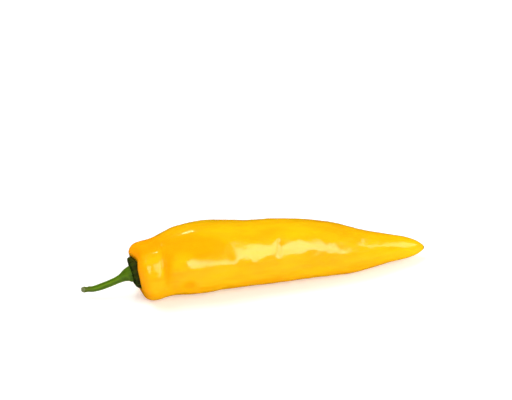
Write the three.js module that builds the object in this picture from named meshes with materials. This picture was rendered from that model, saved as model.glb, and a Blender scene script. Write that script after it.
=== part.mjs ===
// Pointed sweet pepper, picked and lying on its side: a long pod, its toothed calyx and its cut stalk.
// Millimetres. +X runs from the shoulder to the tip and +Z is up. The origin is the middle of the flat
// spot that the pepper rests on.
import * as THREE from 'three';
import { mergeVertices } from 'three/addons/utils/BufferGeometryUtils.js';

// Driving dimensions of the pod
const podLength = 186; // along its axis, from the shoulder's end to the tip
const shoulderX = -65; // where the shoulder's end stands
const podSides = 56;
const podRings = 96; // four for each stretch of the outline

// The pod's half thickness: millimetres from the shoulder's end, then the radius there
const basinStretches = 4; // the outline starts with the basin, which holds the calyx
const podOutline = [
  [2.2, 0], [2, 4], [1.2, 7.6], [0, 10.6], [-0.9, 13.1], [0.3, 16.1], // the basin and its rim
  [3.4, 18.2], [8.5, 19.3], [15, 19.2], [21.5, 19.7], [30, 21.4], // the shoulder and the waist behind it
  [41, 22.3], [53, 21.6], [68, 20.5], [87, 20], [105, 18.8], [121, 17], // the body
  [136, 14.5], [148, 11.7], [160, 9.2], [172, 7], [179, 5], [183.5, 2.7], [185.5, 1.2], [186, 0], // the tip
];

// The pod's axis at equal steps along X: how far it swings sideways and how high it lies
const axisStep = 23;
const axisSide = [-3, -0.8, 0.6, 1, 1, 0.4, -0.8, 0.2, 2.6];
const axisHeight = [18.2, 20.6, 21.8, 20, 19.3, 17.4, 13.8, 11.5, 6.9];

// The shoulder hangs lower than the stalk: a share of the radius, which starts round the calyx and
// fades along the pod. Every angle on the pod is in degrees from the front, -Y, upwards.
const shoulderLean = { angle: -55, share: 0.04, fade: 13, from: 9, full: 16 };

// Lobes of the shoulder: each is moved along the pod, towards the tip where the shift is positive
const lobes = [
  { angle: 124, width: 26, shift: -0.7 },
  { angle: 80, width: 26, shift: 2.6 }, // the upper furrow opens the basin here
  { angle: 30, width: 40, shift: 0.9 },
  { angle: -60, width: 50, shift: 1.8 },
];
const lobeFade = { from: 6, full: 13, along: 10 }; // radii where it starts and is full, and its fade

// Furrows that run straight from the basin along the pod and fade out
const furrows = [
  { angle: -28, width: 20, share: 0.05, fade: 26 },
  { angle: 196, width: 20, share: 0.06, fade: 26 },
];
const furrowStart = 8; // they are at their full depth up to here

// Shallow dents: where along the pod, at which angle, how long, how wide in degrees and how deep
const dents = [
  { along: 18.5, angle: 28, length: 5.5, width: 45, share: 0.045 }, // the waist's front
  { along: 11, angle: 118, length: 7, width: 38, share: 0.065 },
  { along: 24, angle: 118, length: 7, width: 30, share: -0.03 }, // a swelling
  { along: 22.5, angle: 32, length: 3.5, width: 22, share: -0.03 }, // the swelling after the waist
  { along: 27.2, angle: 30, length: 8, width: 24, share: -0.04 },
  { along: 106, angle: 20, length: 14, width: 16, share: 0.022 },
  { along: 28.6, angle: -12, length: 4.2, width: 11, share: 0.075 },
  { along: 70, angle: 205, length: 16, width: 24, share: 0.03 },
  { along: 118, angle: 150, length: 9, width: 26, share: 0.03 },
];

// Grooves drawn through [along, angle, depth] places. A negative depth makes a crest.
const grooves = [
  { // the upper furrow, which runs down over the front
    width: 5.5,
    places: [[-2, 84, 1.1], [7, 83, 1.2], [22, 79, 1], [37, 72, 0.8], [42.5, 62, 0.6], [46.5, 54, 0.4],
      [51, 40, 0.3], [56, 27, 0.2]],
  },
  { // the hollow beside it, over the swelling
    width: 7.5,
    places: [[24, 52, 1.2], [36, 50, 1.6], [47.5, 48, 1.5], [53, 46, 0.9], [58.5, 44, 0]],
  },
  { // first crest of the shoulder's collar
    width: 1.8,
    places: [[4.8, 62, 0], [4.5, 50, -0.6], [4.1, 32, -0.6], [3.9, 18, 0]],
  },
  { // second crest, broader
    width: 3.4,
    places: [[15.6, 88, 0], [14.9, 64, -0.6], [13.6, 36, -0.7], [12.4, 10, -0.7], [10.8, -15, 0]],
  },
  { // the valley behind it
    width: 2.2,
    places: [[18.4, 75, 0.1], [17.7, 54, 0.8], [16.7, 31, 1.1], [15.1, 9, 0.9], [13.9, -12, 0.1]],
  },
];
const grooveRadius = 20; // the pod's radius that turns an angle into a distance across
const grooveStart = { from: 8, full: 14 }; // radii in the basin where they start

const gap = 0.35; // left between neighbours

// Calyx: a low drum that follows the basin and rises to a flat boss under the stalk
const calyxRadius = 8.8;
const calyxRim = 1.1; // thickness at the rim
const bossRadius = 5.4;
const bossRise = 3.1; // height of the boss over the shoulder's end
const bossEdge = 0.1; // its edge is rounded by this much
const calyxDrop = 0.5; // how quickly it falls from the boss, as a power: below 1 it keeps its height
const calyxSides = 48;
const calyxSteps = 7;
const [layLow, layHigh] = [1.2, 3.5]; // below this height it follows the lobes, and above it doesn't
// Its upper side is raised round one angle: fully from a radius and from a height over the basin
const lip = { angle: 124, height: 1.3, from: 5, full: 8.5, low: 0.6, high: 1.1 };
const teeth = { count: 6, length: 1.3, turn: 14, power: 4 }; // they grow towards the rim by that power

// Stalk: it leaves the calyx straight, bends down through these places to its cut end, and has this
// radius at a distance from the calyx
const stalkStraight = 2.6;
const stalkPath = [[-74.9, -2.6, 14.6], [-83.1, -1.2, 10.2], [-91.7, 0, 7.1], [-98, 1.9, 6.1]];
const stalkOutline = [
  [0, 0], [0, 3.4], [0.2, 4.9], [1.4, 4.8], [3.6, 3.7], [6.4, 2.65], [10, 2.15], [16, 2.05],
  [21, 2], [26, 1.75], [29, 1.5], [31, 1.6], [32.2, 1.75], [32.8, 1.4], [32.9, 0],
];
const ridges = { count: 5, share: 0.09, from: 1, full: 8 }; // a share of the radius, past the foot
const cut = { slope: 1, angle: 145, reach: 6 }; // angle from the back, +Y, upwards, that the cut faces
const stalkSides = 20;
const stalkRings = 42;

const { clamp, degToRad, euclideanModulo, lerp, radToDeg, smoothstep } = THREE.MathUtils;
const up = new THREE.Vector3(0, 0, 1);

// A bell curve: 1 at the middle, 0.37 at a distance of one width
function bell(distance, width) {
  return Math.exp(-((distance / width) ** 2));
}

// Smallest turn between two angles, in degrees
function turnBetween(a, b) {
  return euclideanModulo(a - b + 180, 360) - 180;
}

// How much the pod's radius changes at a place, as a share of it
function podRelief(along, radius, angle) {
  const lean = Math.cos(degToRad(angle - shoulderLean.angle));
  const outside = smoothstep(radius, shoulderLean.from, shoulderLean.full);
  let share = shoulderLean.share * lean * outside * Math.exp(-Math.max(along, 0) / shoulderLean.fade);
  for (const furrow of furrows) {
    const fade = Math.exp(-Math.max(along - furrowStart, 0) / furrow.fade);
    share -= furrow.share * fade * bell(turnBetween(angle, furrow.angle), furrow.width);
  }
  for (const dent of dents) {
    const across = bell(turnBetween(angle, dent.angle), dent.width);
    share -= dent.share * across * bell(along - dent.along, dent.length);
  }
  return share;
}

// How deep the grooves are at a place: each counts once, by its nearest stretch
function grooveDepth(along, angle) {
  let depth = 0;
  for (const { width, places } of grooves) {
    let here = 0;
    for (let i = 1; i < places.length; i += 1) {
      const [start, startAngle, startDepth] = places[i - 1];
      const [end, endAngle, endDepth] = places[i];
      const run = end - start;
      const climb = degToRad(endAngle - startAngle) * grooveRadius;
      const x = along - start;
      const y = degToRad(turnBetween(angle, startAngle)) * grooveRadius;
      const share = clamp((x * run + y * climb) / (run ** 2 + climb ** 2), 0, 1);
      const away = Math.hypot(x - share * run, y - share * climb);
      const there = lerp(startDepth, endDepth, share) * bell(away, width);
      if (Math.abs(there) > Math.abs(here)) here = there;
    }
    depth += here;
  }
  return depth;
}

// The pod's radius with every furrow, dent and groove
function podRadius(along, radius, angle) {
  const grooved = grooveDepth(along, angle) * smoothstep(radius, grooveStart.from, grooveStart.full);
  return radius * (1 + podRelief(along, radius, angle)) - grooved;
}

// How far a lobe of the shoulder is moved along the pod
function shoulderShift(along, radius, angle) {
  let shift = 0;
  for (const lobe of lobes) shift += lobe.shift * bell(turnBetween(angle, lobe.angle), lobe.width);
  shift *= smoothstep(radius, lobeFade.from, lobeFade.full);
  return shift * Math.exp(-Math.max(along, 0) / lobeFade.along);
}

// A point at a distance along an axis, a radius and an angle round it
function pointRound(axis, length, along, radius, angle) {
  const share = clamp(along / length, 0, 1);
  const direction = axis.getTangentAt(share);
  const rise = up.clone().addScaledVector(direction, -direction.z).normalize();
  const front = direction.clone().cross(rise);
  const turn = degToRad(angle);
  return axis
    .getPointAt(share)
    .addScaledVector(direction, along - share * length)
    .addScaledVector(front, radius * Math.cos(turn))
    .addScaledVector(rise, radius * Math.sin(turn));
}

// Turns a profile of (radius, along) points and moves every point with place(along, radius, angle).
// Equal points are merged, and the slivers that a turned form has at its poles are left out.
function turnedForm(profile, sides, place) {
  const geometry = new THREE.LatheGeometry(profile, sides);
  const position = geometry.getAttribute('position');
  for (let i = 0; i < position.count; i += 1) {
    const [x, y, z] = [position.getX(i), position.getY(i), position.getZ(i)];
    const point = place(y, Math.hypot(x, z), radToDeg(Math.atan2(z, x)));
    position.setXYZ(i, point.x, point.y, point.z);
  }
  geometry.deleteAttribute('normal');
  geometry.deleteAttribute('uv');
  const merged = mergeVertices(geometry, 0.001);
  const corners = merged.getIndex().array;
  const kept = [];
  for (let i = 0; i < corners.length; i += 3) {
    const [a, b, c] = corners.slice(i, i + 3);
    if (a !== b && b !== c && c !== a) kept.push(a, b, c);
  }
  merged.setIndex(kept);
  merged.computeVertexNormals();
  return merged;
}

// A smooth curve through [along, radius] pairs, as (radius, along) points
function smoothProfile(pairs) {
  return new THREE.SplineCurve(pairs.map(([along, radius]) => new THREE.Vector2(radius, along)));
}

const podCurve = smoothProfile(podOutline);
const podAxis = new THREE.CatmullRomCurve3(
  axisSide.map((side, i) => new THREE.Vector3(shoulderX + i * axisStep, side, axisHeight[i])),
  false,
  'catmullrom',
);

// Pod: the turned outline, bent along its axis. The underside is flat where it meets the surface.
function podForm() {
  return turnedForm(podCurve.getPoints(podRings), podSides, (along, radius, angle) => {
    const shifted = along + shoulderShift(along, radius, angle);
    const point = pointRound(podAxis, podLength, shifted, podRadius(along, radius, angle), angle);
    point.z = Math.max(point.z, 0);
    return point;
  });
}

// How far in the basin lies at a radius: the place on the outline is found by halving
function basinDepth(radius) {
  let [near, far] = [0, basinStretches / (podOutline.length - 1)];
  while (far - near > 1e-7) {
    const middle = (near + far) / 2;
    if (podCurve.getPoint(middle).x < radius) near = middle;
    else far = middle;
  }
  return podCurve.getPoint(near).y;
}

// Calyx: its profile runs from the boss over the top to the rim and back under, along the basin. The
// rim is drawn out into teeth.
function calyxForm() {
  const rim = basinDepth(calyxRadius) - gap;
  const over = [[0, -bossRise], [bossRadius / 2, -bossRise]];
  const under = [];
  for (let i = 0; i <= calyxSteps; i += 1) {
    const share = i / calyxSteps;
    const height = lerp(bossEdge - bossRise, rim - calyxRim, 1 - (1 - share) ** calyxDrop);
    over.push([lerp(bossRadius, calyxRadius, share), height]);
    under.unshift([calyxRadius * share, basinDepth(calyxRadius * share) - gap]);
  }
  over.push([calyxRadius + calyxRim / 4, rim - calyxRim / 2]);
  const profile = [...over, ...under].map(([radius, along]) => new THREE.Vector2(radius, along));
  return turnedForm(profile, calyxSides, (along, radius, angle) => {
    const tooth = Math.max(Math.cos(teeth.count * degToRad(angle - teeth.turn)), 0) ** 2;
    const spread = radius + teeth.length * tooth * (radius / calyxRadius) ** teeth.power;
    const height = basinDepth(radius) - along;
    const laid = shoulderShift(along, spread, angle) * (1 - smoothstep(height, layLow, layHigh));
    const outside = smoothstep(radius, lip.from, lip.full) * smoothstep(height, lip.low, lip.high);
    const raised = (lip.height * outside * (1 + Math.cos(degToRad(angle - lip.angle)))) / 2;
    const place = along + basinDepth(spread) - basinDepth(radius) + laid - raised;
    return pointRound(podAxis, podLength, place, podRadius(along, spread, angle), angle);
  });
}

// Stalk: a ridged stem along its own curve, cut off slantwise
function stalkForm() {
  const outward = podAxis.getTangent(0).negate();
  const foot = podAxis.getPoint(0).addScaledVector(outward, bossRise + gap);
  const bend = foot.clone().addScaledVector(outward, stalkStraight);
  const axis = new THREE.CatmullRomCurve3([foot, bend, ...stalkPath.map((p) => new THREE.Vector3(...p))]);
  const length = stalkOutline.at(-1)[0];
  const profile = smoothProfile(stalkOutline).getPoints(stalkRings);
  return turnedForm(profile, stalkSides, (along, radius, angle) => {
    const ridged = ridges.share * smoothstep(along, ridges.from, ridges.full);
    const reach = radius * (1 + ridged * Math.cos(ridges.count * degToRad(angle)));
    const slope = cut.slope * smoothstep(along, length - cut.reach, length);
    const slant = slope * reach * Math.cos(degToRad(angle - cut.angle));
    return pointRound(axis, length, along - slant, reach, angle);
  });
}

function subPart(name, geometry, color, roughness) {
  const mesh = new THREE.Mesh(geometry, new THREE.MeshStandardMaterial({ color, roughness, metalness: 0 }));
  mesh.name = name;
  return mesh;
}

const group = new THREE.Group();
group.add(subPart('pod', podForm(), 0xfac30f, 0.25));
group.add(subPart('calyx', calyxForm(), 0x2c3f0a, 0.6));
group.add(subPart('stalk', stalkForm(), 0x5f8120, 0.5));

export default group;
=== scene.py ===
import bisect
import math
import bpy
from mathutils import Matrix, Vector, noise


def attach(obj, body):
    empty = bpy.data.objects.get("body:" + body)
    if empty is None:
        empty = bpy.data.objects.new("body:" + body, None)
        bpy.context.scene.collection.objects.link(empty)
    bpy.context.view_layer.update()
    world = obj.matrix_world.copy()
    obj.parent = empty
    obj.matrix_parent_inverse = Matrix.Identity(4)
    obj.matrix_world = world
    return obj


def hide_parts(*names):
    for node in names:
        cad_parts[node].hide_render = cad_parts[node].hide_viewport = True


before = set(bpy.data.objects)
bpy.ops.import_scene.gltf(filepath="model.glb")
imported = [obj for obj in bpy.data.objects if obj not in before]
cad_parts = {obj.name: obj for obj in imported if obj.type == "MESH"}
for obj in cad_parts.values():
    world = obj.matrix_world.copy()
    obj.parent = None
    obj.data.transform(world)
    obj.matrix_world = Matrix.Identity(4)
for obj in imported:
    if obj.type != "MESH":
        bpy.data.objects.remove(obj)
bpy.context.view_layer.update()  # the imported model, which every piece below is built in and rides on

# Pointed sweet pepper lying on its side: the pod, its toothed calyx and its cut stalk.
# Metres, +X from the shoulder to the tip, +Z up. Angles are degrees from the front, -Y, upwards.

print("frame loaded:", sorted(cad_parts))


# Small helpers

sameSpot = 0.000002  # vertices of a spun form that are closer than this become one


def deselectAll():
    bpy.ops.object.select_all(action="DESELECT")


def smoothStep(value, low, high):
    share = min(max((value - low) / (high - low), 0), 1)
    return share * share * (3 - 2 * share)


def bell(distance, width):  # 1 in the middle, 0.37 one width away
    return math.exp(-((distance / width) ** 2))


def turnBetween(a, b):  # smallest turn between two angles
    return (a - b + 180) % 360 - 180


def smoothCurve(points, spread=0.0, extended=True):
    # A curve through points, even with spread 0 and centripetal with 0.5.
    # It gives the place and the direction at a share from 0 to 1.
    points = [Vector(point) for point in points]
    before = 2 * points[0] - points[1] if extended else points[0]
    after = 2 * points[-1] - points[-2] if extended else points[-1]
    chain = [before, *points, after]
    spans = len(points) - 1

    def at(share):
        reached = min(max(share, 0), 1) * spans
        first = min(int(reached), spans - 1)
        a, b, c, d = chain[first:first + 4]
        t = reached - first
        ab, bc, cd = [(far - near).length ** spread for near, far in ((a, b), (b, c), (c, d))]
        leave = ((b - a) / ab - (c - a) / (ab + bc) + (c - b) / bc) * bc
        arrive = ((c - b) / bc - (d - b) / (bc + cd) + (d - c) / cd) * bc
        cubic = 2 * b - 2 * c + leave + arrive
        square = 3 * c - 3 * b - 2 * leave - arrive
        return cubic * t**3 + square * t**2 + leave * t + b, cubic * 3 * t**2 + square * 2 * t + leave

    return at


def byLength(curve, steps=400):
    # The same curve at a share of its length, so that equal shares are equal distances
    stops = [curve(i / steps)[0] for i in range(steps + 1)]
    reached = [0]
    for near, far in zip(stops, stops[1:]):
        reached.append(reached[-1] + (far - near).length)

    def at(share):
        goal = share * reached[-1]
        step = min(max(bisect.bisect_right(reached, goal), 1), steps)
        part = (goal - reached[step - 1]) / (reached[step] - reached[step - 1])
        place, direction = curve((step - 1 + part) / steps)
        return place, direction.normalized()

    return at


def pointRound(axis, length, along, radius, angle):
    # The place beside an axis, which goes straight on past both of its ends
    share = min(max(along / length, 0), 1)
    place, direction = axis(share)
    rise = (Vector((0, 0, 1)) - direction * direction.z).normalized()
    front = direction.cross(rise)
    turn = math.radians(angle)
    out = front * math.cos(turn) + rise * math.sin(turn)
    return place + direction * (along - share * length) + out * radius


def spunForm(name, profile, sides):
    # One vertex, drawn out along the profile of (along, radius) pairs and spun round the X axis
    deselectAll()
    bpy.ops.mesh.primitive_plane_add(size=0.001)
    piece = bpy.context.object
    piece.name = piece.data.name = name
    bpy.ops.object.mode_set(mode="EDIT")
    bpy.ops.mesh.merge(type="CENTER")
    bpy.ops.transform.translate(value=(profile[0][0], 0, profile[0][1]))
    for (along, radius), (nextAlong, nextRadius) in zip(profile, profile[1:]):
        step = (nextAlong - along, 0, nextRadius - radius)
        bpy.ops.mesh.extrude_vertices_move(TRANSFORM_OT_translate={"value": step})
    bpy.ops.mesh.select_all(action="SELECT")
    bpy.ops.mesh.spin(steps=sides, angle=math.tau, center=(0, 0, 0), axis=(1, 0, 0))
    bpy.ops.mesh.select_all(action="SELECT")
    bpy.ops.mesh.remove_doubles(threshold=sameSpot)
    bpy.ops.mesh.normals_make_consistent(inside=False)
    bpy.ops.object.mode_set(mode="OBJECT")
    return piece


def subdivide(piece, levels):
    modifier = piece.modifiers.new("smooth", "SUBSURF")
    modifier.levels = modifier.render_levels = levels
    bpy.ops.object.modifier_apply(modifier=modifier.name)


def shapeForm(piece, place):
    # Moves every vertex of a spun form with place(along, radius, angle), which also gives the mask
    # for the colours. Where the vertex stood before is kept as the attribute "straight", for patterns
    # that follow the piece.
    mesh = piece.data
    mesh.attributes.new("straight", "FLOAT_VECTOR", "POINT")
    mesh.attributes.new("mask", "FLOAT", "POINT")
    straight, mask = [mesh.attributes[name].data for name in ("straight", "mask")]
    for vertex in mesh.vertices:
        along, y, z = vertex.co
        straight[vertex.index].vector = (along, -y, z)
        point, value = place(along, math.hypot(y, z), math.degrees(math.atan2(z, -y)))
        mask[vertex.index].value = value
        vertex.co = point
    mesh.update()
    bpy.ops.object.mode_set(mode="EDIT")
    bpy.ops.mesh.select_all(action="SELECT")
    bpy.ops.mesh.normals_make_consistent(inside=False)
    bpy.ops.object.mode_set(mode="OBJECT")
    bpy.ops.object.shade_smooth()


def onFrame(piece, node, material):
    piece.data.materials.append(material)
    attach(piece, "root")
    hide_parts(node)


# Node helpers and the effects that several materials share

def addNode(tree, kind, place, **settings):
    node = tree.nodes.new(kind)
    node.location = place
    inputs = settings.pop("inputs", {})
    for name, value in settings.items():
        setattr(node, name, value)
    for name, value in inputs.items():
        if isinstance(value, bpy.types.NodeSocket):
            tree.links.new(value, node.inputs[name])
        else:
            node.inputs[name].default_value = value
    return node


def newGroup(name, inputs, outputs):
    tree = bpy.data.node_groups.new(name, "ShaderNodeTree")
    for socket, kind, value in inputs:
        made = tree.interface.new_socket(socket, in_out="INPUT", socket_type=kind)
        if value is not None:
            made.default_value = value
    for socket, kind in outputs:
        tree.interface.new_socket(socket, in_out="OUTPUT", socket_type=kind)
    return tree, addNode(tree, "NodeGroupInput", (-900, 0)), addNode(tree, "NodeGroupOutput", (500, 0))


def makeMottleGroup():
    # Soft blotches, stretched by Stretch: 0 below Low and 1 above High
    tree, given, result = newGroup(
        "softMottle",
        [("Stretch", "NodeSocketVector", None), ("Detail", "NodeSocketFloat", 3.0),
         ("Low", "NodeSocketFloat", 0.35), ("High", "NodeSocketFloat", 0.65)],
        [("Mask", "NodeSocketFloat")])
    straight = addNode(tree, "ShaderNodeAttribute", (-900, 250), attribute_name="straight")
    stretched = addNode(tree, "ShaderNodeVectorMath", (-650, 150), operation="MULTIPLY")
    tree.links.new(straight.outputs["Vector"], stretched.inputs[0])
    tree.links.new(given.outputs["Stretch"], stretched.inputs[1])
    blotches = addNode(tree, "ShaderNodeTexNoise", (-400, 100), inputs={
        "Vector": stretched.outputs["Vector"], "Scale": 1.0, "Detail": given.outputs["Detail"]})
    spread = addNode(tree, "ShaderNodeMapRange", (-100, 50), interpolation_type="SMOOTHSTEP", inputs={
        "Value": blotches.outputs["Fac"], "From Min": given.outputs["Low"],
        "From Max": given.outputs["High"]})
    tree.links.new(spread.outputs["Result"], result.inputs["Mask"])
    return tree


def makeReachGroup():
    # How far along the piece a place lies, from 0 at From to 1 at To
    tree, given, result = newGroup(
        "reachAlong",
        [("From", "NodeSocketFloat", 0.0), ("To", "NodeSocketFloat", 1.0)],
        [("Mask", "NodeSocketFloat")])
    straight = addNode(tree, "ShaderNodeAttribute", (-650, 250), attribute_name="straight")
    parts = addNode(tree, "ShaderNodeSeparateXYZ", (-400, 200), inputs={
        "Vector": straight.outputs["Vector"]})
    spread = addNode(tree, "ShaderNodeMapRange", (-100, 50), interpolation_type="SMOOTHSTEP", inputs={
        "Value": parts.outputs["X"], "From Min": given.outputs["From"], "From Max": given.outputs["To"]})
    tree.links.new(spread.outputs["Result"], result.inputs["Mask"])
    return tree


softMottle = makeMottleGroup()
reachAlong = makeReachGroup()


def newMaterial(name, values):
    material = bpy.data.materials.new(name)
    material.use_nodes = True
    tree = material.node_tree
    shader = tree.nodes["Principled BSDF"]
    for socket, value in values.items():
        shader.inputs[socket].default_value = value
    return material, tree, shader


def shapedMask(tree, place):  # the mask that shapeForm kept on the piece
    return addNode(tree, "ShaderNodeAttribute", place, attribute_name="mask").outputs["Fac"]


def mottle(tree, place, settings):
    low, high = settings["range"]
    node = addNode(tree, "ShaderNodeGroup", place, node_tree=softMottle, inputs={
        "Stretch": settings["stretch"], "Low": low, "High": high, "Detail": settings.get("detail", 3.0)})
    return node.outputs["Mask"]


def reach(tree, place, settings):
    start, end = settings["reach"]
    node = addNode(tree, "ShaderNodeGroup", place, node_tree=reachAlong, inputs={
        "From": start, "To": end})
    return node.outputs["Mask"]


def scaled(tree, place, mask, amount):
    return addNode(tree, "ShaderNodeMath", place, operation="MULTIPLY", inputs={
        0: mask, 1: amount}).outputs[0]


def blend(tree, place, mask, first, second):  # of its sockets 6, 7 and output 2 are the colours
    node = addNode(tree, "ShaderNodeMix", place, data_type="RGBA", inputs={0: mask, 6: first, 7: second})
    return node.outputs[2]


def layer(tree, column, mask, settings, under):  # a colour laid over another where the mask is high
    strength = scaled(tree, (column - 150, 200), mask, settings["amount"])
    return blend(tree, (column, 0), strength, under, settings["colour"])


def between(tree, place, mask, values, stops=(0.0, 1.0)):  # from one value to the other, between stops
    node = addNode(tree, "ShaderNodeMapRange", place, inputs={
        "Value": mask, "From Min": stops[0], "From Max": stops[1], "To Min": values[0],
        "To Max": values[1]})
    return node.outputs["Result"]


def addBump(tree, shader, height, settings):
    bump = addNode(tree, "ShaderNodeBump", (-400, -600), inputs={
        "Height": height, "Strength": settings["strength"], "Distance": settings["distance"]})
    tree.links.new(bump.outputs["Normal"], shader.inputs["Normal"])


# Pod

pod = {
    "length": 0.186,
    "shoulderX": -0.065,
    "basinStretches": 4,  # the first stretches of the outline are the basin's
    "outline": [  # along, radius
        (0.0022, 0), (0.002, 0.004), (0.0012, 0.0076), (0, 0.0106), (-0.0009, 0.0131), (0.0003, 0.0161),
        (0.0034, 0.0182), (0.0085, 0.0193), (0.015, 0.0192), (0.0215, 0.0197), (0.03, 0.0214),
        (0.041, 0.0223), (0.053, 0.0216), (0.068, 0.0205), (0.087, 0.02), (0.105, 0.0188),
        (0.121, 0.017), (0.136, 0.0145), (0.148, 0.0117), (0.16, 0.0092), (0.172, 0.007),
        (0.179, 0.005), (0.1835, 0.0027), (0.1855, 0.0012), (0.186, 0)],
    "rings": 216,
    "sides": 96,
    "axisStep": 0.023,
    "axisSide": [-0.003, -0.0008, 0.0006, 0.001, 0.001, 0.0004, -0.0008, 0.0002, 0.0026],
    "axisHeight": [0.0182, 0.0206, 0.0218, 0.02, 0.0193, 0.0174, 0.0138, 0.0115, 0.0069],
    "lean": {"angle": -55, "share": 0.04, "fade": 0.013, "from": 0.009, "full": 0.016},
    "lobes": [  # angle, width, how far the shoulder stands back there
        (124, 26, -0.0007), (80, 26, 0.0026), (30, 40, 0.0009), (-60, 50, 0.0018)],
    "lobeFade": {"from": 0.006, "full": 0.013, "along": 0.01},
    "furrows": [  # angle, width, share, fade
        (-28, 20, 0.05, 0.026), (196, 20, 0.06, 0.026)],
    "furrowStart": 0.008,
    "dents": [  # along, angle, length, width, share
        (0.0185, 28, 0.0055, 45, 0.045), (0.011, 118, 0.007, 38, 0.065), (0.024, 118, 0.007, 30, -0.03),
        (0.0225, 32, 0.0035, 22, -0.03), (0.0272, 30, 0.008, 24, -0.04), (0.106, 20, 0.014, 16, 0.022),
        (0.0352, 82, 0.0016, 5, 0.006),
        (0.0286, -12, 0.0042, 11, 0.075), (0.07, 205, 0.016, 24, 0.03), (0.118, 150, 0.009, 26, 0.03)],
    "strokes": [  # width, then the places that it runs through: along, angle, depth there
        # Furrow from the top of the shoulder down the front
        (0.0055, [(-0.002, 84, 0.0011), (0.007, 83, 0.0012), (0.022, 79, 0.001), (0.037, 72, 0.0008),
                  (0.0425, 62, 0.0006), (0.0465, 54, 0.0004), (0.051, 40, 0.0003), (0.056, 27, 0.0002)]),
        # Broad hollow beside it
        (0.0075, [(0.024, 52, 0.0012), (0.036, 50, 0.0016), (0.0475, 48, 0.0015), (0.053, 46, 0.0009),
                  (0.0585, 44, 0)]),
        # Ridge round the front of the shoulder, then the groove behind it
        (0.0034, [(0.0156, 88, 0), (0.0149, 64, -0.0006), (0.0136, 36, -0.0007), (0.0124, 10, -0.0007),
                  (0.0108, -15, 0)]),
        (0.0022, [(0.0184, 75, 0.0001), (0.0177, 54, 0.0008), (0.0167, 31, 0.0011), (0.0151, 9, 0.0009),
                  (0.0139, -12, 0.0001)]),
        # Thin ridge nearer to the stem end
        (0.0018, [(0.0048, 62, 0), (0.0045, 50, -0.0006), (0.0041, 32, -0.0006), (0.0039, 18, 0)]),
        # Two faint grooves across the front, one in the middle and one nearer to the shoulder
        (0.0018, [(0.0888, 66, 0), (0.0876, 52, 0.0004), (0.0862, 32, 0.0004), (0.086, 22, 0)]),
        (0.0025, [(0.054, 44, 0), (0.0565, 30, 0.0004), (0.058, 18, 0)])],
    "strokeSpan": 3,  # widths from its line within which a stroke is felt
    "strokeRadius": 0.02,
    "strokeStart": (0.008, 0.014),
    "hollowDepth": 0.0013,
    "reliefStart": (0.003, 0.014),
    "swells": [  # scale along, scale across, height of the skin's soft unevenness
        (38, 75, 0.0003), (120, 170, 0.00023), (260, 330, 0.00008)],
    "wrinkles": {"along": 0.0443, "angle": 78, "length": 0.005, "width": 11, "scaleAlong": 420,
                 "scaleAcross": 200, "height": 0.0002, "least": 0.01},
    "skin": {
        "body": (0.86, 0.45, 0.002, 1),
        "patches": {"colour": (0.87, 0.38, 0.002, 1), "amount": 0.9, "stretch": (28, 60, 60),
                    "range": (0.35, 0.65), "detail": 2.0},
        "streaks": {"colour": (0.88, 0.5, 0.003, 1), "amount": 0.35, "stretch": (45, 260, 260),
                    "range": (0.38, 0.66)},
        # painted shade: a deeper orange laid into the hollows of the skin
        "hollowShade": {"colour": (0.86, 0.25, 0.001, 1), "amount": 0.6},
        "tip": {"colour": (0.87, 0.54, 0.003, 1), "amount": 0.8, "reach": (0.15, 0.184)},
        # painted shade: a deeper orange round the calyx, fading out along the shoulder
        "rim": {"colour": (0.86, 0.27, 0.001, 1), "amounts": (0.6, 0.0), "reach": (-0.001, 0.008)},
        "scar": {"colour": (0.2, 0.15, 0.01, 1), "amount": 1.0, "reach": (0.184, 0.1852)},
        "dull": {"stretch": (160, 220, 220), "range": (0.3, 0.7)},
        "roughness": (0.13, 0.2),
        "pores": {"scale": 900.0, "detail": 2.0, "strength": 0.12, "distance": 0.0001},
        "gloss": {"level": (0.85, 0.05), "hollowShade": (0.3, 0.65), "streaks": (1.0, 0.75),
                  "collar": {"amounts": (0.65, 1.0), "reach": (0.013, 0.024)}},
        "shader": {"Specular Tint": (1, 1, 0.65, 1), "Subsurface Weight": 0.25,
                   "Subsurface Radius": (1.0, 0.45, 0.05), "Subsurface Scale": 0.003},
    },
}

podCurve = smoothCurve([(along, radius, 0) for along, radius in pod["outline"]], extended=False)
podOutline = byLength(podCurve)
podAxisPoints = [
    (pod["shoulderX"] + i * pod["axisStep"], side, height)
    for i, (side, height) in enumerate(zip(pod["axisSide"], pod["axisHeight"]))]
podAxisCurve = smoothCurve(podAxisPoints)
podAxis = byLength(podAxisCurve)


def podProfile():
    return [tuple(podOutline(i / pod["rings"])[0][:2]) for i in range(pod["rings"] + 1)]


def podRelief(along, radius, angle):  # the change of the radius, as a share of it
    lean = pod["lean"]
    share = lean["share"] * math.cos(math.radians(angle - lean["angle"]))
    share *= smoothStep(radius, lean["from"], lean["full"]) * math.exp(-max(along, 0) / lean["fade"])
    for furrowAngle, width, depth, fade in pod["furrows"]:
        reached = math.exp(-max(along - pod["furrowStart"], 0) / fade)
        share -= depth * reached * bell(turnBetween(angle, furrowAngle), width)
    for dentAlong, dentAngle, length, width, depth in pod["dents"]:
        share -= depth * bell(turnBetween(angle, dentAngle), width) * bell(along - dentAlong, length)
    return share


def strokeDepth(along, angle):  # how deep the drawn grooves are at a place, in metres
    depth = 0
    for width, places in pod["strokes"]:
        best = 0
        for (a, angleA, depthA), (b, angleB, depthB) in zip(places, places[1:]):
            run, climb = b - a, math.radians(angleB - angleA) * pod["strokeRadius"]
            x, y = along - a, math.radians(turnBetween(angle, angleA)) * pod["strokeRadius"]
            share = min(max((x * run + y * climb) / (run * run + climb * climb), 0), 1)
            off = math.hypot(x - share * run, y - share * climb)
            if off < pod["strokeSpan"] * width:
                there = (depthA + (depthB - depthA) * share) * bell(off, width)
                best = max(best, there, key=abs)
        depth += best
    return depth


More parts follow.
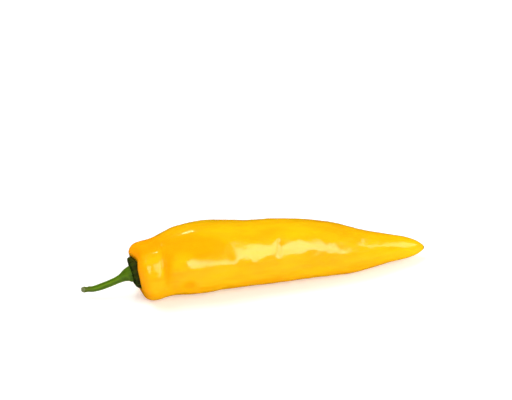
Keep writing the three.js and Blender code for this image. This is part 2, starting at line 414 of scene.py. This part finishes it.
def podRadius(along, radius, angle):  # the radius with every furrow, dent and groove
    grooved = strokeDepth(along, angle) * smoothStep(radius, *pod["strokeStart"])
    return radius * (1 + podRelief(along, radius, angle)) - grooved


def shoulderShift(along, radius, angle):  # how far a lobe of the shoulder is pushed along the pod
    fade = pod["lobeFade"]
    shift = sum(push * bell(turnBetween(angle, at), width) for at, width, push in pod["lobes"])
    return shift * smoothStep(radius, fade["from"], fade["full"]) * math.exp(-max(along, 0) / fade["along"])


def skinRelief(along, radius, angle):  # the fine unevenness on top of that, in metres
    turn = math.radians(angle)
    y, z = radius * math.cos(turn), radius * math.sin(turn)
    height = 0
    for scaleAlong, scaleAcross, amount in pod["swells"]:
        height += amount * noise.noise(Vector((along * scaleAlong, y * scaleAcross, z * scaleAcross)))
    wrinkles = pod["wrinkles"]
    there = bell(along - wrinkles["along"], wrinkles["length"])
    there *= bell(turnBetween(angle, wrinkles["angle"]), wrinkles["width"])
    if there > wrinkles["least"]:
        across = wrinkles["scaleAcross"]
        height += wrinkles["height"] * there * noise.noise(
            Vector((along * wrinkles["scaleAlong"], y * across, z * across)))
    return height * smoothStep(radius, *pod["reliefStart"])


def placePod(along, radius, angle):  # the mask is high in the hollows, where painted shade deepens the skin's colour
    reached = podRadius(along, radius, angle)
    hollow = min(max((radius - reached) / pod["hollowDepth"], 0), 1)
    shifted = along + shoulderShift(along, radius, angle)
    reached += skinRelief(along, radius, angle)
    point = pointRound(podAxis, pod["length"], shifted, reached, angle)
    point.z = max(point.z, 0)
    return point, hollow


def makePodMaterial():
    skin = pod["skin"]
    rim, pores, gloss = [skin[name] for name in ("rim", "pores", "gloss")]
    material, tree, shader = newMaterial("waxySkin", skin["shader"])
    hollowShade = shapedMask(tree, (-1500, 300))
    streaks = mottle(tree, (-1500, 0), skin["streaks"])
    patches = mottle(tree, (-1500, -200), skin["patches"])
    tip = reach(tree, (-1500, -400), skin["tip"])
    scar = reach(tree, (-1500, -600), skin["scar"])
    colour = layer(tree, -1200, patches, skin["patches"], skin["body"])
    colour = layer(tree, -1000, streaks, skin["streaks"], colour)
    # painted shade: deeper orange in the hollows, where the gloss is also lowered
    colour = layer(tree, -800, hollowShade, skin["hollowShade"], colour)
    colour = layer(tree, -600, tip, skin["tip"], colour)
    # painted shade round the calyx, strongest in the basin and gone 8 mm along the shoulder
    calyxShadeMask = between(tree, (-700, 350), reach(tree, (-1500, 500), rim), rim["amounts"])
    colour = blend(tree, (-450, 0), calyxShadeMask, colour, rim["colour"])
    colour = layer(tree, -300, scar, skin["scar"], colour)
    tree.links.new(colour, shader.inputs["Base Color"])
    dull = mottle(tree, (-1500, -800), skin["dull"])
    tree.links.new(between(tree, (-600, -500), dull, skin["roughness"]), shader.inputs["Roughness"])
    place = addNode(tree, "ShaderNodeTexCoord", (-1750, -1000))
    grain = addNode(tree, "ShaderNodeTexNoise", (-1500, -1000), inputs={
        "Vector": place.outputs["Object"], "Scale": pores["scale"], "Detail": pores["detail"]})
    addBump(tree, shader, grain.outputs["Fac"], pores)
    level = between(tree, (-900, -400), hollowShade, gloss["level"], gloss["hollowShade"])
    level = scaled(tree, (-750, -400), level, between(tree, (-900, -550), streaks, gloss["streaks"]))
    collar = between(tree, (-750, -600), reach(tree, (-1500, -1200), gloss["collar"]),
                     gloss["collar"]["amounts"])
    tree.links.new(scaled(tree, (-600, -400), level, collar), shader.inputs["Specular IOR Level"])
    return material


def makePod():
    profile = podProfile()
    piece = spunForm("pepper_pod", profile, pod["sides"])
    subdivide(piece, 1)
    shapeForm(piece, placePod)
    onFrame(piece, "pod", makePodMaterial())
    print("pod made:", len(piece.data.polygons), "faces")


# Calyx

calyx = {
    "radius": 0.0088,
    "rim": 0.0011,
    "bossRadius": 0.0054,
    "bossRise": 0.0031,
    "bossEdge": 0.0001,
    "drop": 0.5,
    "lip": {"angle": 124, "height": 0.0013, "from": 0.005, "full": 0.0085},
    "steps": 12,
    "sides": 144,
    "gap": 0.0001,
    "teeth": {"count": 6, "length": 0.0013, "turn": 14, "power": 4},
    "ribs": {"count": 18, "height": 0.0002, "from": 0.3, "full": 0.8},
    "rag": {"scale": 3, "height": 0.00025},
    "topStart": (0.0004, 0.001),  # heights over the basin where the top side begins
    "lobesFade": (0.0012, 0.0035),  # heights where it stops following the shoulder's lobes
    "edgeStart": (0.85, 1.0),
    "depthError": 1e-6,
    "cap": {
        "body": (0.006, 0.014, 0.0003, 1),
        "patches": {"colour": (0.02, 0.04, 0.001, 1), "amount": 1.0, "stretch": (500, 500, 500),
                    "range": (0.4, 0.62)},
        "edge": {"colour": (0.05, 0.055, 0.005, 1), "amount": 0.4},
        "roughness": (0.65, 0.45),
        "bump": {"strength": 0.5, "distance": 0.0002},
        "shader": {"Specular IOR Level": 0.12},
    },
}


def basinDepth(radius):  # how far along the pod its basin lies at a radius, found by halving
    near, far = 0, pod["basinStretches"] / (len(pod["outline"]) - 1)
    while far - near > calyx["depthError"]:
        middle = (near + far) / 2
        if podCurve(middle)[0].y < radius:
            near = middle
        else:
            far = middle
    return podCurve(near)[0].x


def calyxProfile():  # the top from the middle to the rim, then back under it along the basin
    rim = basinDepth(calyx["radius"]) - calyx["gap"]
    over = [(-calyx["bossRise"], 0), (-calyx["bossRise"], calyx["bossRadius"] / 2)]
    under = []
    for i in range(calyx["steps"] + 1):
        share = i / calyx["steps"]
        fallen = 1 - (1 - share) ** calyx["drop"]
        top = calyx["bossEdge"] - calyx["bossRise"]
        over.append((top + (rim - calyx["rim"] - top) * fallen,
                     calyx["bossRadius"] + (calyx["radius"] - calyx["bossRadius"]) * share))
        under.insert(0, (basinDepth(calyx["radius"] * share) - calyx["gap"], calyx["radius"] * share))
    over.append((rim - calyx["rim"] / 2, calyx["radius"] + calyx["rim"] / 4))
    return over + under


def placeCalyx(along, radius, angle):  # the mask is high at the rim
    teeth, rag, ribs, lip = [calyx[name] for name in ("teeth", "rag", "ribs", "lip")]
    turn = math.radians(angle)
    share = radius / calyx["radius"]
    tooth = max(math.cos(math.radians(teeth["count"] * (angle - teeth["turn"]))), 0) ** 2
    ragged = noise.noise(Vector((math.cos(turn) * rag["scale"], math.sin(turn) * rag["scale"], share)))
    spread = radius + (teeth["length"] * tooth + rag["height"] * ragged) * share ** teeth["power"]
    above = basinDepth(radius) - along
    onTop = smoothStep(above, *calyx["topStart"])
    laid = along + basinDepth(spread) - basinDepth(radius)
    rib = math.cos(turn * ribs["count"]) * smoothStep(share, ribs["from"], ribs["full"])
    laid -= ribs["height"] * rib * onTop
    raised = smoothStep(radius, lip["from"], lip["full"]) * onTop
    laid -= lip["height"] * raised * (1 + math.cos(math.radians(angle - lip["angle"]))) / 2
    laid += shoulderShift(along, spread, angle) * (1 - smoothStep(above, *calyx["lobesFade"]))
    point = pointRound(podAxis, pod["length"], laid, podRadius(along, spread, angle), angle)
    return point, smoothStep(share, *calyx["edgeStart"])


def makeCalyxMaterial():
    cap = calyx["cap"]
    material, tree, shader = newMaterial("darkCalyx", cap["shader"])
    edge = shapedMask(tree, (-1200, 300))
    patches = mottle(tree, (-1200, 0), cap["patches"])
    colour = layer(tree, -800, patches, cap["patches"], cap["body"])
    colour = layer(tree, -600, edge, cap["edge"], colour)
    tree.links.new(colour, shader.inputs["Base Color"])
    tree.links.new(between(tree, (-600, -300), patches, cap["roughness"]), shader.inputs["Roughness"])
    addBump(tree, shader, patches, cap["bump"])
    return material


def makeCalyx():
    piece = spunForm("pepper_calyx", calyxProfile(), calyx["sides"])
    shapeForm(piece, placeCalyx)
    onFrame(piece, "calyx", makeCalyxMaterial())
    print("calyx made:", len(piece.data.polygons), "faces")


# Stalk

stalk = {
    "gap": -0.0004,
    "straight": 0.0026,
    "path": [(-0.0749, -0.0026, 0.0146), (-0.0831, -0.0012, 0.0102), (-0.0917, 0, 0.0071),
             (-0.098, 0.0019, 0.0061)],
    "outline": [
        (0, 0), (0, 0.0034), (0.0002, 0.0049), (0.0014, 0.0048), (0.0036, 0.0037), (0.0064, 0.00265),
        (0.01, 0.00215), (0.016, 0.00205), (0.021, 0.002), (0.026, 0.00175), (0.029, 0.0015),
        (0.031, 0.0016), (0.0322, 0.00175), (0.0328, 0.0014), (0.0329, 0)],
    "rings": 84,
    "sides": 60,
    "ridges": {"count": 5, "share": 0.09, "from": 0.001, "full": 0.008},
    "cut": {"slope": 1, "angle": 145, "reach": 0.006},
    "knob": {"along": 0.0285, "angle": 75, "length": 0.0012, "width": 35, "height": 0.0004},
    "fibres": {"scale": 60, "across": 1400, "height": 0.00006},
    "sideStart": (0.0008, 0.0014),  # inside the first radius is an end, beyond the second the side
    "stem": {
        "body": (0.045, 0.1, 0.0015, 1),
        "fibres": {"colour": (0.08, 0.15, 0.003, 1), "amount": 1.0, "stretch": (90, 1500, 1500),
                   "range": (0.35, 0.65)},
        # painted highlight: paler green along the ridges
        "crestHighlight": {"colour": (0.14, 0.27, 0.008, 1), "amount": 0.6},
        "patches": {"colour": (0.06, 0.12, 0.006, 1), "amount": 0.3, "stretch": (250, 500, 500),
                    "range": (0.4, 0.65)},
        "old": {"colour": (0.09, 0.11, 0.012, 1), "amount": 0.7, "reach": (0.024, 0.031)},
        "end": {"colour": (0.17, 0.19, 0.075, 1), "amount": 1.0, "reach": (0.0322, 0.0326)},
        "roughness": (0.5, 0.38),
        "bump": {"strength": 0.4, "distance": 0.0001},
        "shader": {"Specular IOR Level": 0.2, "Subsurface Weight": 0.1, "Subsurface Scale": 0.001},
    },
}

stalkLength = stalk["outline"][-1][0]
shoulderEnd, shoulderDirection = podAxisCurve(0)
stalkDirection = -shoulderDirection.normalized()
stalkFoot = shoulderEnd + stalkDirection * (calyx["bossRise"] + stalk["gap"])
stalkBend = stalkFoot + stalkDirection * stalk["straight"]
stalkAxis = byLength(smoothCurve([stalkFoot, stalkBend, *stalk["path"]], spread=0.5))


def placeStalk(along, radius, angle):  # the mask is high on the ridges, where a highlight is painted
    ridges, cut, knob, fibres = [stalk[name] for name in ("ridges", "cut", "knob", "fibres")]
    turn = math.radians(angle)
    ridged = ridges["share"] * smoothStep(along, ridges["from"], ridges["full"])
    crest = math.cos(turn * ridges["count"])
    reached = radius * (1 + ridged * crest)
    swelling = bell(along - knob["along"], knob["length"])
    swelling *= bell(turnBetween(angle, knob["angle"]), knob["width"])
    grain = noise.noise(Vector((along * fibres["scale"], radius * math.cos(turn) * fibres["across"],
                                radius * math.sin(turn) * fibres["across"])))
    onSide = smoothStep(radius, *stalk["sideStart"])
    reached += (knob["height"] * swelling + fibres["height"] * grain) * onSide
    slope = cut["slope"] * smoothStep(along, stalkLength - cut["reach"], stalkLength)
    slant = slope * reached * math.cos(math.radians(angle - cut["angle"]))
    point = pointRound(stalkAxis, stalkLength, along - slant, reached, angle)
    return point, (crest + 1) / 2 * smoothStep(along, 0, ridges["full"])


def makeStalkMaterial():
    stem = stalk["stem"]
    material, tree, shader = newMaterial("greenStalk", stem["shader"])
    crestHighlight = shapedMask(tree, (-1400, 300))
    fibres = mottle(tree, (-1400, 0), stem["fibres"])
    patches = mottle(tree, (-1400, -200), stem["patches"])
    old = reach(tree, (-1400, -400), stem["old"])
    end = reach(tree, (-1400, -600), stem["end"])
    colour = layer(tree, -1000, fibres, stem["fibres"], stem["body"])
    # painted highlight along the ridges
    colour = layer(tree, -850, crestHighlight, stem["crestHighlight"], colour)
    colour = layer(tree, -700, patches, stem["patches"], colour)
    colour = layer(tree, -550, old, stem["old"], colour)
    colour = layer(tree, -400, end, stem["end"], colour)
    tree.links.new(colour, shader.inputs["Base Color"])
    tree.links.new(between(tree, (-600, -400), fibres, stem["roughness"]), shader.inputs["Roughness"])
    addBump(tree, shader, fibres, stem["bump"])
    return material


def makeStalk():
    curve = smoothCurve([(along, radius, 0) for along, radius in stalk["outline"]], extended=False)
    profile = [tuple(curve(i / stalk["rings"])[0][:2]) for i in range(stalk["rings"] + 1)]
    piece = spunForm("pepper_stalk", profile, stalk["sides"])
    subdivide(piece, 1)
    shapeForm(piece, placeStalk)
    onFrame(piece, "stalk", makeStalkMaterial())
    print("stalk made:", len(piece.data.polygons), "faces")


# Studio: floor, lights and camera

studio = {
    "floorSize": 6.0,
    "floorPaint": {"Base Color": (0.85, 0.85, 0.85, 1), "Roughness": 0.7, "Specular IOR Level": 0.1,
                   "Emission Color": (1, 0.98, 0.94, 1), "Emission Strength": 0.26},
    "worldStrength": 0.3,
    "worldColour": (1, 1, 1, 1),
    "softboxes": {  # seen says whether it shows in the gloss of the pepper
        "key": {"azimuth": 20, "elevation": 36, "distance": 1.2, "size": (0.9, 0.97), "power": 11,
                "seen": True},
        "right": {"azimuth": 81, "elevation": 26, "distance": 1.0, "size": (0.58, 0.4), "power": 2,
                  "seen": True},
        "top": {"azimuth": -110, "elevation": 62, "distance": 2.4, "size": (1.6, 1.6), "power": 46,
                "seen": False},
        "back": {"azimuth": -162, "elevation": 61, "distance": 1.0, "size": (0.08, 0.1), "power": 0.8,
                 "seen": True},
    },
}
view = {
    "azimuth": -11,
    "elevation": 35,
    "place": (-0.12576, -0.6973, 0.55728),
    "lens": 101.494,
}


def towards(azimuth, elevation):  # the direction of something seen at those angles from the object
    a, e = math.radians(azimuth), math.radians(elevation)
    return Vector((math.sin(a) * math.cos(e), -math.cos(a) * math.cos(e), math.sin(e)))


def addSoftbox(name, settings):
    away = towards(settings["azimuth"], settings["elevation"])
    bpy.ops.object.light_add(type="AREA", location=away * settings["distance"])
    light = bpy.context.object
    light.name = name
    light.rotation_euler = away.to_track_quat("Z", "Y").to_euler()
    light.data.shape = "RECTANGLE"
    light.data.size, light.data.size_y = settings["size"]
    light.data.energy = settings["power"]
    light.visible_glossy = settings["seen"]


def makeStudio():
    deselectAll()
    bpy.ops.mesh.primitive_plane_add(size=studio["floorSize"])
    floor = bpy.context.object
    floor.name = "floor"
    floor.data.materials.append(newMaterial("whiteFloor", studio["floorPaint"])[0])
    floor.visible_glossy = False
    for name, settings in studio["softboxes"].items():
        addSoftbox(name + "Softbox", settings)
    world = bpy.data.worlds.new("studio")
    world.use_nodes = True
    background = world.node_tree.nodes["Background"]
    background.inputs["Strength"].default_value = studio["worldStrength"]
    background.inputs["Color"].default_value = studio["worldColour"]
    world.cycles_visibility.glossy = False
    bpy.context.scene.world = world
    bpy.context.scene.view_settings.view_transform = "Standard"
    print("studio made")


def makeCamera():
    turned = (math.radians(90 - view["elevation"]), 0, math.radians(view["azimuth"]))
    bpy.ops.object.camera_add(location=view["place"], rotation=turned)
    camera = bpy.context.object
    camera.data.lens = view["lens"]
    bpy.context.scene.camera = camera
    print("camera made")


makePod()
makeCalyx()
makeStalk()
makeStudio()
makeCamera()
